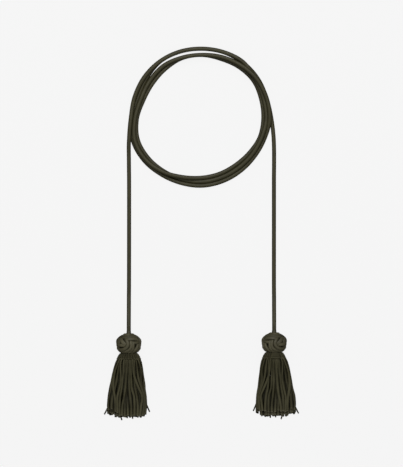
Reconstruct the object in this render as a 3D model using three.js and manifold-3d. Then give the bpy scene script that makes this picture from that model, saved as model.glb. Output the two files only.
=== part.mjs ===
// A leather cord belt, laid flat. One long round cord is coiled three times into an open ring, its
// two leads run down side by side, and each lead ends in a tassel: a plaited button knot, a gathered
// neck band and a fringe of leather thongs.
// Millimetres, +X to the right, +Y towards the ring, +Z up, and the floor under the belt at Z = 0.

import * as THREE from 'three';
import { mergeVertices } from 'three/addons/utils/BufferGeometryUtils.js';
import Module from 'manifold-3d';

const wasm = await Module();
wasm.setup();

// Clearance between neighbouring pieces
const PIECE_GAP = 0.3;

// The cord and the ring that it is coiled into
const CORD_DIAMETER = 4;
const CORD_SIDES = 10;
const CORD_LIFT = 0.05;
const RING_RADIUS = 69;
const LANE_PITCH = 4.15;
const STATIONS_PER_TURN = 20;

// The button knot
const KNOT_WIDTH = 26.4;
const KNOT_LENGTH = 22;
const KNOT_DEPTH = 24;
const KNOT_SEAT = 9.8;
const PLY_WIDTH = 4.2;
const PLY_LIFT = 1.2;
const PLY_SIDES = 6;
const PLY_STEPS = 5;
const CORE_INSET = 2.4;
const CORE_SIDES = 14;
const CORE_ROWS = 8;
const COLLAR_STAND = 1;
const COLLAR_REACH = 3;
const COLLAR_TOP_WIDTH = 4.6;
const COLLAR_FOOT_WIDTH = 8.8;
const KNOT_AXIS_HEIGHT = KNOT_DEPTH / 2;

// The neck band
const BAND_LENGTH = 6.4;
const BAND_TOP_WIDTH = 18.2;
const BAND_TOP_DEPTH = 13.4;
const BAND_FOOT_WIDTH = 25.6;
const BAND_FOOT_DEPTH = 12.6;
const BAND_WALL = 1.5;
const BAND_DROP = 2.4;
const RIB_COUNT = 22;
const RIB_DEPTH = 0.5;

// The fringe
const FRINGE_LENGTH = 59.7;
const HEM_WIDTH = 42.6;
const HEM_DEPTH = 6.2;
const HEM_LEAN = 2.1;
const FLOOR_SINK = 0.5;
const FRINGE_SIDES = 20;
const FRINGE_SQUARENESS = 2.5;
const LOCK_COUNT = 15;
const LOCK_SIDES = 6;
const LOCK_RISE = 1;
const LOCK_OVERLAP = 1.15;
const LOCK_START = 0.02;
const LOCK_SWAY = 0.5;
const BODY_END = 0.94;
const STRAY_WIDTH = 1.3;
const STRAY_SIDES = 6;

// The tassel's own stations, measured down from the end of the cord
const COLLAR_FACE = -PIECE_GAP;
const KNOT_CENTRE = COLLAR_FACE - COLLAR_STAND - KNOT_LENGTH / 2;
const KNOT_FOOT = KNOT_CENTRE - KNOT_SEAT;
const BAND_TOP = KNOT_FOOT - PIECE_GAP;
const BAND_FOOT = BAND_TOP - BAND_LENGTH;
const FRINGE_TOP = BAND_FOOT - PIECE_GAP;

// The straight leads, point by point. Rise is a share of the knot's axis height above the floor,
// and level counts cord thicknesses, where a lead climbs onto the turns of the ring.
const LEFT_LEAD = [
  { x: -75.9, y: -221, rise: 1, level: 0 },
  { x: -75.9, y: -215, rise: 1, level: 0 },
  { x: -75.9, y: -206, rise: 0.8, level: 0 },
  { x: -75.9, y: -196, rise: 0.36, level: 0 },
  { x: -75.9, y: -186, rise: 0.08, level: 0 },
  { x: -75.8, y: -174, rise: 0, level: 0 },
  { x: -75.7, y: -120, rise: 0, level: 0 },
  { x: -75.7, y: -66, rise: 0, level: 0 },
  { x: -75.9, y: -42, rise: 0, level: 0.2 },
  { x: -75.9, y: -24.6, rise: 0, level: 0.6 },
];
const RIGHT_LEAD = [
  { x: 72.3, y: 0, rise: 0, level: 0 },
  { x: 74.8, y: -24, rise: 0, level: 0 },
  { x: 74.9, y: -66, rise: 0, level: 0 },
  { x: 74.9, y: -120, rise: 0, level: 0 },
  { x: 74.9, y: -173, rise: 0, level: 0 },
  { x: 75, y: -185, rise: 0.08, level: 0 },
  { x: 75, y: -195, rise: 0.36, level: 0 },
  { x: 75, y: -205, rise: 0.8, level: 0 },
  { x: 75, y: -214, rise: 1, level: 0 },
  { x: 75, y: -220, rise: 1, level: 0 },
];

// The coil, one row for each half turn, clockwise from the left lead. Lane is the place across the
// ring and level the height, both in lane pitches, at ten even stations of the half turn.
const HALF_TURNS = [
  {
    over: 'top',
    lane: [1.2, 1.1, 1.25, 1.2, 1.1, 0.95, 0.95, 0.95, 0, -0.35],
    level: [1, 0.75, 1, 1.05, 1.05, 1.05, 1.05, 1.05, 0.95, 0.85],
  },
  {
    over: 'bottom',
    lane: [-0.7, -1, -1.25, -1.35, -1.2, -0.95, -0.75, -0.45, 0, 0.25],
    level: [0.85, 0.95, 0.7, 0.4, 0.05, 0, 0, 0, 0, 0],
  },
  {
    over: 'top',
    lane: [-0.35, -1.25, -1.25, -1.1, -0.6, -0.6, -0.85, -0.65, -0.55, -1],
    level: [0, 0, 0, 0, 0, 0, 0, 0, 0, 0],
  },
  {
    over: 'bottom',
    lane: [-1.3, -1.45, -2.05, -2.35, -2.25, -2, -1.3, -0.2, 0.75, 1],
    level: [0, 0, 0, 0, 0, 0.25, 1, 1.05, 0.95, 0.95],
  },
  {
    over: 'top',
    lane: [0.15, -0.55, -0.3, -0.2, -0.5, -0.6, -0.35, -0.05, 0.35, 0.4],
    level: [0.95, 0.85, 0.6, 0.8, 1.05, 1.05, 1.15, 1.95, 2.1, 1.65],
  },
  {
    over: 'bottom',
    lane: [0.45, -0.2, -0.45, -0.4, -0.15, 0.1, 0.3, 0.6, 1.2, 1.5],
    level: [1.1, 0, 0, 0, 0, 0, 0, 0, 0, 0],
  },
  {
    over: 'top',
    lane: [0.9, 0.2, 0.85, 1.2, 1.1, 0.95, 0.95, 0.85, 0.6, 0.4],
    level: [0, 0, 0, 0, 0, 0, 0, 0, 0, 0],
  },
];

// The plies of the knot as they show from above on the left tassel. Across and along, towards the
// cord, are in quarter turns from the knot's crown, so that 1 is its edge and more is underneath.
// Lift is the share of the lift that raises a ply over its neighbours.
const PLIES = [
  {
    name: 'inner hook',
    across: [-0.32, -0.12, 0.03, -0.04, -0.5, -1.08],
    along: [0.52, 0.24, -0.12, -0.45, -0.74, -0.52],
    lift: [-0.2, 0.5, 0.8, 0.6, 0.4, -0.3],
  },
  {
    name: 'outer hook',
    across: [0.2, 0.31, 0.25, -0.08, -0.45],
    along: [0.12, -0.2, -0.56, -0.9, -1],
    lift: [-0.3, 0.4, 0.4, 0.3, 0],
  },
  {
    name: 'front bar',
    across: [-0.14, 0.2, 0.6, 1, 1.2],
    along: [0.38, 0.33, 0.34, 0.16, -0.05],
    lift: [-0.2, 0.8, 0.7, 0.1, -0.4],
  },
  {
    name: 'back bar',
    across: [-0.38, 0.1, 0.6, 1.02],
    along: [0.62, 0.6, 0.6, 0.42],
    lift: [-0.3, 0.35, 0.3, -0.3],
  },
  {
    name: 'left diagonal',
    across: [-0.62, -0.5, -0.36, -0.22],
    along: [0.62, 0.36, 0.03, -0.14],
    lift: [-0.2, 0.4, 0.35, -0.3],
  },
  {
    name: 'left column',
    across: [-1, -0.78, -0.76, -0.94],
    along: [0.5, 0.34, -0.1, -0.46],
    lift: [-0.2, 0.3, 0.3, -0.3],
  },
  {
    name: 'left cross ply',
    across: [-1.15, -0.9, -0.5, -0.26],
    along: [-0.04, -0.2, -0.3, -0.36],
    lift: [-0.3, 0.2, 0.5, -0.3],
  },
  {
    name: 'right column',
    across: [0.92, 1.03, 0.96, 0.7],
    along: [0.2, -0.14, -0.52, -0.88],
    lift: [-0.2, 0.1, 0.1, 0],
  },
  {
    name: 'right inner ply',
    across: [0.48, 0.55, 0.74],
    along: [0.08, -0.3, -0.74],
    lift: [-0.2, 0.4, 0],
  },
];

// The fringe's outline, one row for each section from the neck band to the hem. Spread and thinning
// are shares of the change from the band's foot to the hem, and sag is the share of the band's
// height that is left.
const FRINGE_SECTIONS = [
  { along: 0, spread: 0, thinning: 0, sag: 1 },
  { along: 0.05, spread: 0.13, thinning: 0.04, sag: 0.79 },
  { along: 0.16, spread: 0.35, thinning: 0.22, sag: 0.44 },
  { along: 0.3, spread: 0.51, thinning: 0.44, sag: 0.17 },
  { along: 0.45, spread: 0.69, thinning: 0.66, sag: 0.05 },
  { along: 0.63, spread: 0.89, thinning: 0.81, sag: 0 },
  { along: 0.8, spread: 1, thinning: 0.91, sag: 0 },
  { along: 1, spread: 1, thinning: 1, sag: 0 },
];
const LOCK_STATIONS = [0.16, 0.34, 0.52, 0.7, 0.86];

// The cut edge of the left fringe: where the hem ends, across in half widths.
const HEM_EDGE = [
  { across: -1, along: 0.965 },
  { across: -0.72, along: 0.965 },
  { across: -0.65, along: 0.95 },
  { across: -0.57, along: 1 },
  { across: 0.82, along: 1 },
  { across: 1, along: 0.95 },
];

// Single thongs that stray out of the left fringe.
const STRAYS = [
  { name: 'left flare', rootAcross: -0.93, rootAlong: 0.84, tipAcross: -1.1, tipAlong: 0.955 },
  { name: 'right flare', rootAcross: 0.9, rootAlong: 0.74, tipAcross: 1.11, tipAlong: 0.912 },
  { name: 'low tip', rootAcross: -0.36, rootAlong: 0.86, tipAcross: -0.245, tipAlong: 1.055 },
];

// Colours of the leather, measured as dark olive
const CORD_COLOUR = '#3e3c2f';
const KNOT_COLOUR = '#403e31';
const FRINGE_COLOUR = '#2f2d20';

function leather(colour, roughness) {
  return new THREE.MeshStandardMaterial({ color: colour, roughness, metalness: 0 });
}

function toSolid(geometry) {
  const bare = geometry.clone();
  bare.deleteAttribute('normal');
  bare.deleteAttribute('uv');
  const merged = mergeVertices(bare, 1e-4);
  return new wasm.Manifold(new wasm.Mesh({
    numProp: 3,
    vertProperties: new Float32Array(merged.attributes.position.array),
    triVerts: new Uint32Array(merged.index.array),
  }));
}

function toGeometry(solid) {
  const mesh = solid.getMesh();
  const geometry = new THREE.BufferGeometry();
  geometry.setAttribute('position', new THREE.BufferAttribute(mesh.vertProperties, 3));
  geometry.setIndex(new THREE.BufferAttribute(mesh.triVerts, 1));
  geometry.computeVertexNormals();
  return geometry;
}

function enclosedVolume(corners, faces) {
  let volume = 0;
  for (const [a, b, c] of faces) {
    volume += corners[a].dot(corners[b].clone().cross(corners[c])) / 6;
  }
  return volume;
}

// A closed body through rings of equally many corners, with a fan of triangles over each end.
function loftThrough(rings) {
  const sides = rings[0].length;
  const corners = rings.flat();
  const faces = [];
  for (let row = 0; row < rings.length - 1; row += 1) {
    for (let side = 0; side < sides; side += 1) {
      const next = (side + 1) % sides;
      const here = row * sides;
      const below = here + sides;
      faces.push([here + side, below + side, below + next]);
      faces.push([here + side, below + next, here + next]);
    }
  }
  const lastRing = (rings.length - 1) * sides;
  for (let side = 1; side < sides - 1; side += 1) {
    faces.push([0, side, side + 1]);
    faces.push([lastRing, lastRing + side + 1, lastRing + side]);
  }
  const inward = enclosedVolume(corners, faces) < 0;
  const order = inward ? faces.map(([a, b, c]) => [a, c, b]) : faces;
  const geometry = new THREE.BufferGeometry();
  const places = new Float32Array(corners.flatMap((corner) => corner.toArray()));
  geometry.setAttribute('position', new THREE.BufferAttribute(places, 3));
  geometry.setIndex(order.flat());
  return geometry;
}

// A ring of corners square to Y. Power 2 is an ellipse, and more makes it squarer.
function crossRing({ x, y, z, halfWidth, halfDepth }, sides, power = 2) {
  const ring = [];
  for (let side = 0; side < sides; side += 1) {
    const angle = (side + 0.5) / sides * 2 * Math.PI;
    const across = Math.cos(angle);
    const up = Math.sin(angle);
    ring.push(new THREE.Vector3(
      x + halfWidth * Math.sign(across) * Math.abs(across) ** (2 / power),
      y,
      z + halfDepth * Math.sign(up) * Math.abs(up) ** (2 / power),
    ));
  }
  return ring;
}

// Reads a column of a table at a place between its rows.
function readBetween(table, key, place, column) {
  const last = table.length - 1;
  const found = table.findIndex((row) => row[key] > place);
  const upper = found < 0 ? last : Math.max(found, 1);
  const lower = table[upper - 1];
  const share = (place - lower[key]) / (table[upper][key] - lower[key]);
  return THREE.MathUtils.lerp(lower[column], table[upper][column], Math.min(share, 1));
}

// The cord

// A curve that has its sections exactly at the chosen points, each square to its neighbours.
class StationCurve extends THREE.Curve {
  constructor(points) {
    super();
    this.points = points;
  }

  getPoint(share, target = new THREE.Vector3()) {
    const station = Math.round(share * (this.points.length - 1));
    return target.copy(this.points[station]);
  }

  getPointAt(share, target) {
    return this.getPoint(share, target);
  }

  getTangentAt(share, target = new THREE.Vector3()) {
    const last = this.points.length - 1;
    const station = Math.round(share * last);
    const ahead = this.points[Math.min(station + 1, last)];
    const behind = this.points[Math.max(station - 1, 0)];
    return target.subVectors(ahead, behind).normalize();
  }
}

function cordHeight(rise, level) {
  const onFloor = CORD_DIAMETER / 2 + CORD_LIFT;
  return onFloor + rise * (KNOT_AXIS_HEIGHT - onFloor) + level * LANE_PITCH;
}

function leadPoints(lead) {
  return lead.map(({ x, y, rise, level }) => new THREE.Vector3(x, y, cordHeight(rise, level)));
}

function coilPoints() {
  const points = [];
  const stepAngle = 2 * Math.PI / STATIONS_PER_TURN;
  for (const { over, lane, level } of HALF_TURNS) {
    const startAngle = over === 'top' ? -Math.PI / 2 : Math.PI / 2;
    for (let station = 0; station < lane.length; station += 1) {
      const angle = startAngle + station * stepAngle;
      const radius = RING_RADIUS + lane[station] * LANE_PITCH;
      points.push(new THREE.Vector3(
        radius * Math.sin(angle),
        radius * Math.cos(angle),
        cordHeight(0, level[station]),
      ));
    }
  }
  return points;
}

function roundSection(radius, sides) {
  const corners = [];
  for (let side = 0; side < sides; side += 1) {
    const angle = side / sides * 2 * Math.PI;
    corners.push(new THREE.Vector2(radius * Math.cos(angle), radius * Math.sin(angle)));
  }
  return new THREE.Shape(corners);
}

function makeCord() {
  const route = [...leadPoints(LEFT_LEAD), ...coilPoints(), ...leadPoints(RIGHT_LEAD)];
  const geometry = new THREE.ExtrudeGeometry(roundSection(CORD_DIAMETER / 2, CORD_SIDES), {
    steps: route.length - 1,
    extrudePath: new StationCurve(route),
    bevelEnabled: false,
  });
  const cord = new THREE.Mesh(geometry, leather(CORD_COLOUR, 0.55));
  cord.name = 'cord';
  return cord;
}

// The button knot

function plyPlace(across, along, lift, mirror, face) {
  const reach = Math.hypot(across, along);
  const turn = reach * Math.PI / 2;
  const outward = new THREE.Vector3(
    mirror * face * across / reach * Math.sin(turn),
    along / reach * Math.sin(turn),
    face * Math.cos(turn),
  );
  const inset = PLY_WIDTH / 2 + PLY_LIFT * (1 - lift) / 2;
  return outward.multiply(new THREE.Vector3(
    KNOT_WIDTH / 2 - inset,
    KNOT_LENGTH / 2 - inset,
    KNOT_DEPTH / 2 - inset,
  ));
}

function plySolid({ across, along, lift }, mirror, face) {
  const points = across.map((share, index) => (
    plyPlace(share, along[index], lift[index], mirror, face)
  ));
  return toSolid(new THREE.ExtrudeGeometry(roundSection(PLY_WIDTH / 2, PLY_SIDES), {
    steps: PLY_STEPS,
    extrudePath: new THREE.CatmullRomCurve3(points),
    bevelEnabled: false,
  })).translate([0, KNOT_CENTRE, KNOT_AXIS_HEIGHT]);
}

function knotSolid(mirror) {
  const core = new THREE.SphereGeometry(1, CORE_SIDES, CORE_ROWS);
  core.scale(
    KNOT_WIDTH / 2 - CORE_INSET,
    KNOT_LENGTH / 2 - CORE_INSET,
    KNOT_DEPTH / 2 - CORE_INSET,
  );
  core.translate(0, KNOT_CENTRE, KNOT_AXIS_HEIGHT);
  let solid = toSolid(core);
  for (const ply of PLIES) {
    solid = solid.add(plySolid(ply, mirror, 1));
    solid = solid.add(plySolid(ply, mirror, -1));
  }
  const collar = loftThrough([
    crossRing({
      x: 0,
      y: COLLAR_FACE,
      z: KNOT_AXIS_HEIGHT,
      halfWidth: COLLAR_TOP_WIDTH / 2,
      halfDepth: COLLAR_TOP_WIDTH / 2,
    }, CORD_SIDES),
    crossRing({
      x: 0,
      y: COLLAR_FACE - COLLAR_STAND - COLLAR_REACH,
      z: KNOT_AXIS_HEIGHT,
      halfWidth: COLLAR_FOOT_WIDTH / 2,
      halfDepth: COLLAR_FOOT_WIDTH / 2,
    }, CORD_SIDES),
  ]);
  const neck = loftThrough([KNOT_CENTRE, KNOT_FOOT].map((y) => bandRing(y, RIB_DEPTH, CORE_SIDES)));
  solid = solid.add(toSolid(collar)).add(toSolid(neck));
  const room = 2 * (KNOT_WIDTH + KNOT_LENGTH + KNOT_DEPTH);
  const aboveSeat = new THREE.BoxGeometry(room, room, room);
  aboveSeat.translate(0, KNOT_FOOT + room / 2, 0);
  return solid.intersect(toSolid(aboveSeat));
}

// The neck band

function bandRing(y, inset, sides) {
  const share = Math.max((y - BAND_TOP) / (BAND_FOOT - BAND_TOP), 0);
  return crossRing({
    x: 0,
    y,
    z: KNOT_AXIS_HEIGHT - BAND_DROP * share,
    halfWidth: THREE.MathUtils.lerp(BAND_TOP_WIDTH, BAND_FOOT_WIDTH, share) / 2 - inset,
    halfDepth: THREE.MathUtils.lerp(BAND_TOP_DEPTH, BAND_FOOT_DEPTH, share) / 2 - inset,
  }, sides);
}

function ribbedRing(y) {
  const crest = bandRing(y, 0, 2 * RIB_COUNT);
  const groove = bandRing(y, RIB_DEPTH, 2 * RIB_COUNT);
  return crest.map((corner, side) => (side % 2 === 0 ? corner : groove[side]));
}

function bandSolid() {
  const outside = toSolid(loftThrough([ribbedRing(BAND_TOP), ribbedRing(BAND_FOOT)]));
  const inside = toSolid(loftThrough([
    bandRing(BAND_TOP + PIECE_GAP, BAND_WALL, FRINGE_SIDES),
    bandRing(BAND_FOOT - PIECE_GAP, BAND_WALL, FRINGE_SIDES),
  ]));
  return outside.subtract(inside);
}

// The fringe

function fringeSection(along, mirror) {
  const spread = readBetween(FRINGE_SECTIONS, 'along', along, 'spread');
  const thinning = readBetween(FRINGE_SECTIONS, 'along', along, 'thinning');
  const sag = readBetween(FRINGE_SECTIONS, 'along', along, 'sag');
  const halfDepth = THREE.MathUtils.lerp(BAND_FOOT_DEPTH, HEM_DEPTH, thinning) / 2;
  const lying = halfDepth - FLOOR_SINK;
  return {
    x: -mirror * HEM_LEAN * along,
    y: FRINGE_TOP - along * FRINGE_LENGTH,
    z: THREE.MathUtils.lerp(lying, KNOT_AXIS_HEIGHT - BAND_DROP, sag),
    halfWidth: THREE.MathUtils.lerp(BAND_FOOT_WIDTH, HEM_WIDTH, spread) / 2,
    halfDepth,
  };
}

function lockSolid(index, mirror) {
  const across = (2 * (index + 0.5) / LOCK_COUNT - 1) * 0.96;
  const end = readBetween(HEM_EDGE, 'across', across, 'along');
  const fall = (1 - Math.abs(across) ** FRINGE_SQUARENESS) ** (1 / FRINGE_SQUARENESS);
  const rings = [LOCK_START, ...LOCK_STATIONS, end].map((along) => {
    const body = fringeSection(along, mirror);
    const halfWidth = LOCK_OVERLAP * body.halfWidth / LOCK_COUNT;
    const sway = LOCK_SWAY * Math.sin(2 * Math.PI * (along * 1.4 + index * 0.37));
    return crossRing({
      x: body.x + mirror * (across * body.halfWidth + sway),
      y: body.y,
      z: body.z + body.halfDepth * fall + LOCK_RISE - halfWidth,
      halfWidth,
      halfDepth: halfWidth,
    }, LOCK_SIDES);
  });
  return toSolid(loftThrough(rings));
}

function straySolid({ rootAcross, rootAlong, tipAcross, tipAlong }, mirror) {
  const rings = [0, 0.5, 1].map((share) => {
    const along = THREE.MathUtils.lerp(rootAlong, tipAlong, share);
    const across = THREE.MathUtils.lerp(rootAcross, tipAcross, share);
    const body = fringeSection(along, mirror);
    const radius = STRAY_WIDTH / 2 * (1 - 0.3 * share);
    return crossRing({
      x: body.x + mirror * across * HEM_WIDTH / 2,
      y: body.y,
      z: THREE.MathUtils.lerp(HEM_DEPTH / 2, STRAY_WIDTH / 2, share),
      halfWidth: radius,
      halfDepth: radius,
    }, STRAY_SIDES);
  });
  return toSolid(loftThrough(rings));
}

function fringeSolid(mirror) {
  const stations = FRINGE_SECTIONS.map((row) => row.along * BODY_END);
  const body = loftThrough(stations.map((along) => (
    crossRing(fringeSection(along, mirror), FRINGE_SIDES, FRINGE_SQUARENESS)
  )));
  const header = loftThrough([BAND_TOP, FRINGE_TOP - PIECE_GAP].map((y) => (
    bandRing(y, BAND_WALL + PIECE_GAP, FRINGE_SIDES)
  )));
  let solid = toSolid(body).add(toSolid(header));
  for (let index = 0; index < LOCK_COUNT; index += 1) {
    solid = solid.add(lockSolid(index, mirror));
  }
  for (const stray of STRAYS) {
    solid = solid.add(straySolid(stray, mirror));
  }
  const room = 2 * (FRINGE_LENGTH + HEM_WIDTH + KNOT_DEPTH);
  const aboveFloor = new THREE.BoxGeometry(room, 2 * room, room);
  aboveFloor.translate(0, 0, room / 2);
  return solid.intersect(toSolid(aboveFloor));
}

// A tassel hangs from the end of its lead, with the floor at the foot of its own frame.
function makeTassel(side, mirror, leadEnd) {
  const tassel = new THREE.Group();
  const pieces = [
    ['knot', knotSolid(mirror), KNOT_COLOUR],
    ['neck_band', bandSolid(), FRINGE_COLOUR],
    ['fringe', fringeSolid(mirror), FRINGE_COLOUR],
  ];
  for (const [name, solid, colour] of pieces) {
    const piece = new THREE.Mesh(toGeometry(solid), leather(colour, 0.6));
    piece.name = `${side}_${name}`;
    tassel.add(piece);
  }
  tassel.position.set(leadEnd.x, leadEnd.y, 0);
  return tassel;
}

const tassels = new THREE.Group();
tassels.add(makeTassel('left', 1, LEFT_LEAD[0]));
tassels.add(makeTassel('right', -1, RIGHT_LEAD[RIGHT_LEAD.length - 1]));

const belt = new THREE.Group();
belt.add(makeCord());
belt.add(tassels);

// The origin lies on the floor, in the middle between the two tassels.
const tasselBox = new THREE.Box3().setFromObject(tassels, true);
const middle = tasselBox.getCenter(new THREE.Vector3());
belt.position.set(-middle.x, -middle.y, -tasselBox.min.z);
belt.updateMatrixWorld(true);

export default belt;
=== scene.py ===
# A dark olive leather cord belt, laid flat on a pale floor: one long cord coiled three and a half times
# into an open ring, and a tassel of plaited knot, gathered band and cut thongs on each of its two leads.

import math
import random

import bpy
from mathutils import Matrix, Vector


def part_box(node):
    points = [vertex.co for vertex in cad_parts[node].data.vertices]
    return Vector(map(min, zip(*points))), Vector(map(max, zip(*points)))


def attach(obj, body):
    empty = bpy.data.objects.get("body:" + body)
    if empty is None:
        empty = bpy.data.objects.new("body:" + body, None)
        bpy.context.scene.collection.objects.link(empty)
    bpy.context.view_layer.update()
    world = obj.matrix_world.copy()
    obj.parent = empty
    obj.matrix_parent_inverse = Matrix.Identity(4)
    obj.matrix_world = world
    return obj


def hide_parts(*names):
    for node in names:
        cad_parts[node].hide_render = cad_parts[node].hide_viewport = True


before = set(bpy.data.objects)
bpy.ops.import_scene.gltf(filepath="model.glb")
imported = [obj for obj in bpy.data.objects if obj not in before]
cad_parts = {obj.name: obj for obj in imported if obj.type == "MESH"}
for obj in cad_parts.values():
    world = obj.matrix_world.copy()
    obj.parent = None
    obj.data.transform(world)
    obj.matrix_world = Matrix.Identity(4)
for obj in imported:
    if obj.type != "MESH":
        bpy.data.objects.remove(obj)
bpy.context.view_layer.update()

MM = 0.001

# The picture
# The belt is photographed from straight above with a long lens, so that the leads stay parallel.
# One picture pixel is 1.04 mm of floor, and the ring's middle stands above the picture's middle.
PICTURE_WIDTH, PICTURE_HEIGHT = 403, 467
PIXEL = 1.04 * MM
RING_PIXEL_X, RING_PIXEL_Y = 201.9, 119
CAMERA_HEIGHT = 6.0
SENSOR = 36.0

# The left lead's end from the ring's middle
LEFT_CORD_END_X = -75.9 * MM
LEFT_CORD_END_Y = -221 * MM
left_band_low, left_band_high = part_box("left_neck_band")
cord_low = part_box("cord")[0]
RING_CENTRE = Vector((
    (left_band_low[0] + left_band_high[0]) / 2 - LEFT_CORD_END_X,
    cord_low[1] - LEFT_CORD_END_Y,
    0,
))

camera_data = bpy.data.cameras.new("overhead_camera")
camera_data.sensor_fit = "AUTO"
camera_data.sensor_width = SENSOR
camera_data.lens = SENSOR * CAMERA_HEIGHT / (PICTURE_HEIGHT * PIXEL)
camera = bpy.data.objects.new("overhead_camera", camera_data)
camera.location = (
    RING_CENTRE.x + (PICTURE_WIDTH / 2 - RING_PIXEL_X) * PIXEL,
    RING_CENTRE.y - (PICTURE_HEIGHT / 2 - RING_PIXEL_Y) * PIXEL,
    CAMERA_HEIGHT,
)
bpy.context.collection.objects.link(camera)
bpy.context.scene.camera = camera

# The cord
# One leather cord, four millimetres thick and very slightly flattened, runs from knot to knot: down
# from the left knot to the floor, three and a half times round the ring, and back to the right knot. It
# lies under its own weight, and the turns press against one another.
CORD_DIAMETER = 4 * MM
CORD_BREADTH = 4.35 * MM
CORD_LIFT = 0.05 * MM
CORD_SIDES = 20
CORD_STEPS = 8
RING_RADIUS = 69 * MM
LANE_PITCH = 4.15 * MM
STATIONS_PER_TURN = 20
KNOT_AXIS_HEIGHT = 12 * MM
UP = Vector((0, 0, 1))

# x and y in millimetres from the ring's middle, rise as a share of the knot's axis height, and
# level in lane pitches
LEFT_LEAD = [
    (-75.9, -221, 1, 0),
    (-75.9, -215, 1, 0),
    (-75.9, -206, 0.8, 0),
    (-75.9, -196, 0.36, 0),
    (-75.9, -186, 0.08, 0),
    (-75.8, -174, 0, 0),
    (-75.7, -120, 0, 0),
    (-75.7, -66, 0, 0),
    (-75.9, -42, 0, 0.2),
    (-75.9, -24.6, 0, 0.6),
]
RIGHT_LEAD = [
    (72.3, 0, 0, 0),
    (74.8, -24, 0, 0),
    (74.9, -66, 0, 0),
    (74.9, -120, 0, 0),
    (74.9, -173, 0, 0),
    (75, -185, 0.08, 0),
    (75, -195, 0.36, 0),
    (75, -205, 0.8, 0),
    (75, -214, 1, 0),
    (75, -220, 1, 0),
]

# One row for each half turn, clockwise from the left lead: the half, then at ten even stations how far
# the cord lies outside the ring's radius, and its level there, both in lane pitches
HALF_TURNS = [
    ("top", [1.2, 1.1, 1.2, 1.2, 1.1, 0.95, 0.95, 0.95, 0, -0.35],
     [1, 0.75, 1, 1.05, 1.05, 1.05, 1.05, 1.05, 0.95, 0.85]),
    ("bottom", [-0.5, -1, -1.25, -1.35, -1.2, -0.92, -0.77, -0.45, 0, 0.25],
     [0.85, 0.95, 0.7, 0.4, 0.05, 0, 0, 0, 0, 0]),
    ("top", [-0.35, -1.25, -1.4, -1.1, -0.6, -0.6, -0.85, -0.65, -0.55, -1],
     [0, 0, 0, 0, 0, 0, 0, 0, 0, 0]),
    ("bottom", [-1.25, -1.45, -2.05, -2.35, -2.21, -1.92, -1.3, -0.2, 0.75, 1],
     [0, 0, 0, 0, 0, 0.25, 1, 1.05, 0.95, 0.95]),
    ("top", [0.15, -0.55, -0.45, -0.2, -0.5, -0.6, -0.35, -0.05, 0.35, 0.4],
     [0.95, 0.85, 0.6, 0.8, 1.05, 1.05, 1.15, 1.95, 2.1, 1.65]),
    ("bottom", [0.35, -0.2, -0.45, -0.4, -0.18, 0.1, 0.25, 0.6, 1.2, 1.5],
     [1.1, 0, 0, 0, 0, 0, 0, 0, 0, 0]),
    ("top", [0.9, 0.2, 0.55, 1.15, 1.1, 0.95, 0.95, 0.85, 0.65, 0.4],
     [0, 0, 0, 0, 0, 0, 0, 0, 0, 0]),
]


def cord_height(rise, level):
    on_floor = CORD_DIAMETER / 2 + CORD_LIFT
    return on_floor + rise * (KNOT_AXIS_HEIGHT - on_floor) + level * LANE_PITCH


def lead_points(lead):
    return [
        RING_CENTRE + Vector((x * MM, y * MM, cord_height(rise, level)))
        for x, y, rise, level in lead
    ]


def coil_points():
    points = []
    for half, lanes, levels in HALF_TURNS:
        start = -math.pi / 2 if half == "top" else math.pi / 2
        for station, (lane, level) in enumerate(zip(lanes, levels)):
            angle = start + station * 2 * math.pi / STATIONS_PER_TURN
            radius = RING_RADIUS + lane * LANE_PITCH
            place = Vector((radius * math.sin(angle), radius * math.cos(angle), 0))
            points.append(RING_CENTRE + place + Vector((0, 0, cord_height(0, level))))
    return points


# The least length to divide by
TINY = 1e-9


def smooth_through(points, steps):
    """A smooth line through every point, with that many steps from each point to the next."""
    ends = [2 * points[0] - points[1], *points, 2 * points[-1] - points[-2]]
    line = []
    for before, here, there, after in zip(ends, ends[1:], ends[2:], ends[3:]):
        span = max((there - here).length, TINY)
        out = span * (there - before) / max((here - before).length + span, TINY)
        into = span * (after - here) / max((after - there).length + span, TINY)
        for step in range(steps):
            t = step / steps
            line.append(
                (2 * t**3 - 3 * t**2 + 1) * here + (t**3 - 2 * t**2 + t) * out
                + (3 * t**2 - 2 * t**3) * there + (t**3 - t**2) * into
            )
    line.append(points[-1].copy())
    return line


# How a strip is marked for its leather: the way round it as a share of its width and depth together,
# how much less of a crown its edges are, and how much of a crown a raw cut is. The crown mark pales
# the leather on a strip's outer side: partly wear, partly painted light there and painted shade on its
# edges and underside.
GIRTH_SHARE = 1.6
EDGE_WEAR_AND_LIGHT_FALL = 0.5
CUT_CROWN_WEAR_AND_LIGHT = 0.4

# The flat of a raw cut: its size as a share of the section, and how far it stands out
CUT_SIZE = 0.82
CUT_STAND = 0.08 * MM


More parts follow.
